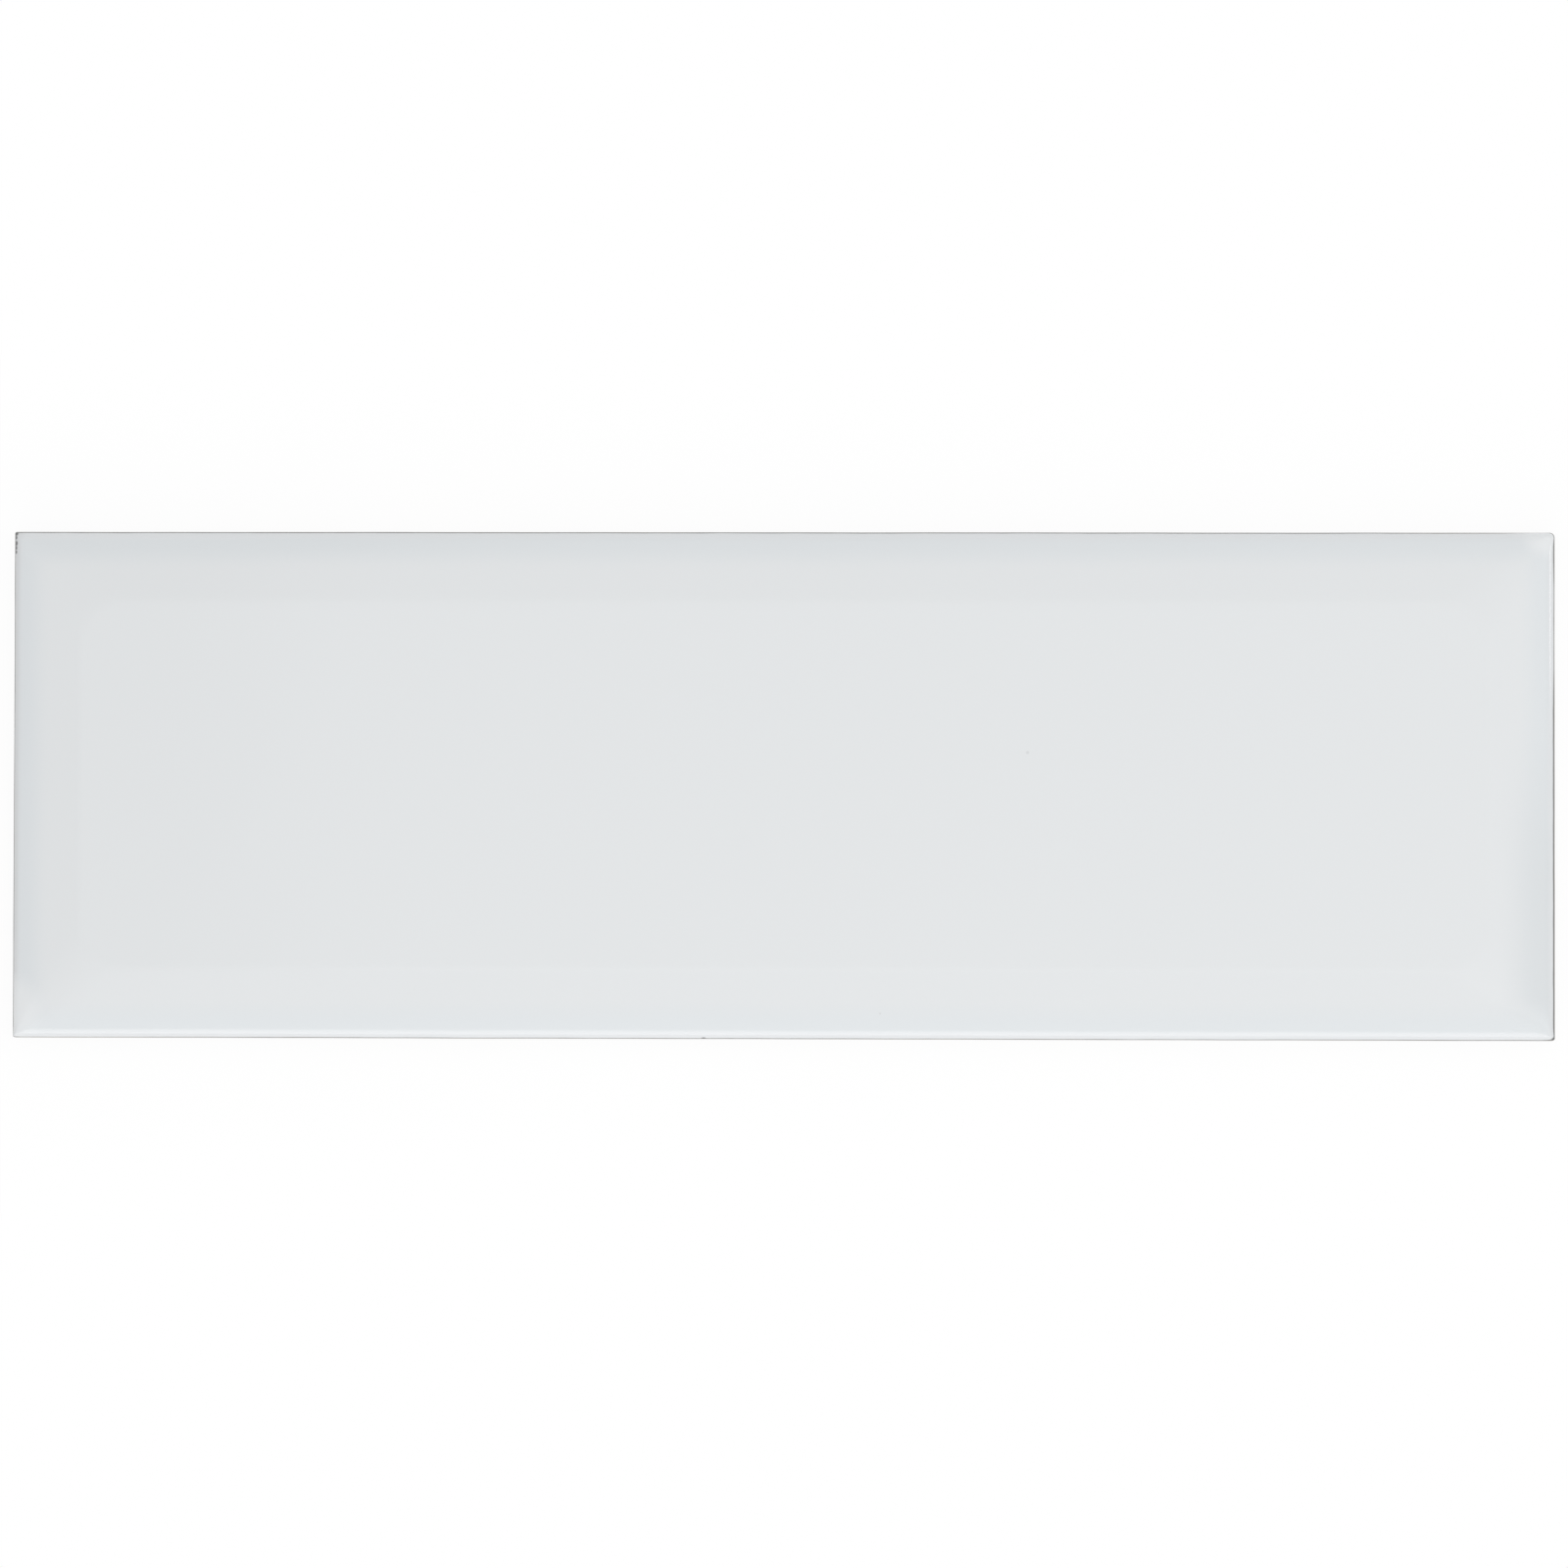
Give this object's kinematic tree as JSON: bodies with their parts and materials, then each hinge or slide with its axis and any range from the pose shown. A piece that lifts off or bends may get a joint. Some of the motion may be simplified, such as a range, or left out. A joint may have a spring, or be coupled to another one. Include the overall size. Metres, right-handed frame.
{
  "type": "bevelled ceramic tile",
  "caption": "Rectangular white glazed wall tile with a raised flat field, sloped bevels that mitre at the corners, a rolled rim and a keyed back for bedding in adhesive.",
  "frame": {"origin": "middle of the back, in the plane of its ribs, on which the tile lies", "axes": "+Z out of the glazed face, +X along the tile's length, +Y across its width"},
  "size_m": [0.2986, 0.0984, 0.0085],
  "materials": {
    "glazed_ceramic": "smooth cool-white glaze on the face and the rim, fired onto a matt off-white body that is bare on the sides and the back"
  },
  "bodies": {
    "root": {"tile": "glazed_ceramic"}
  },
  "joints": []
}
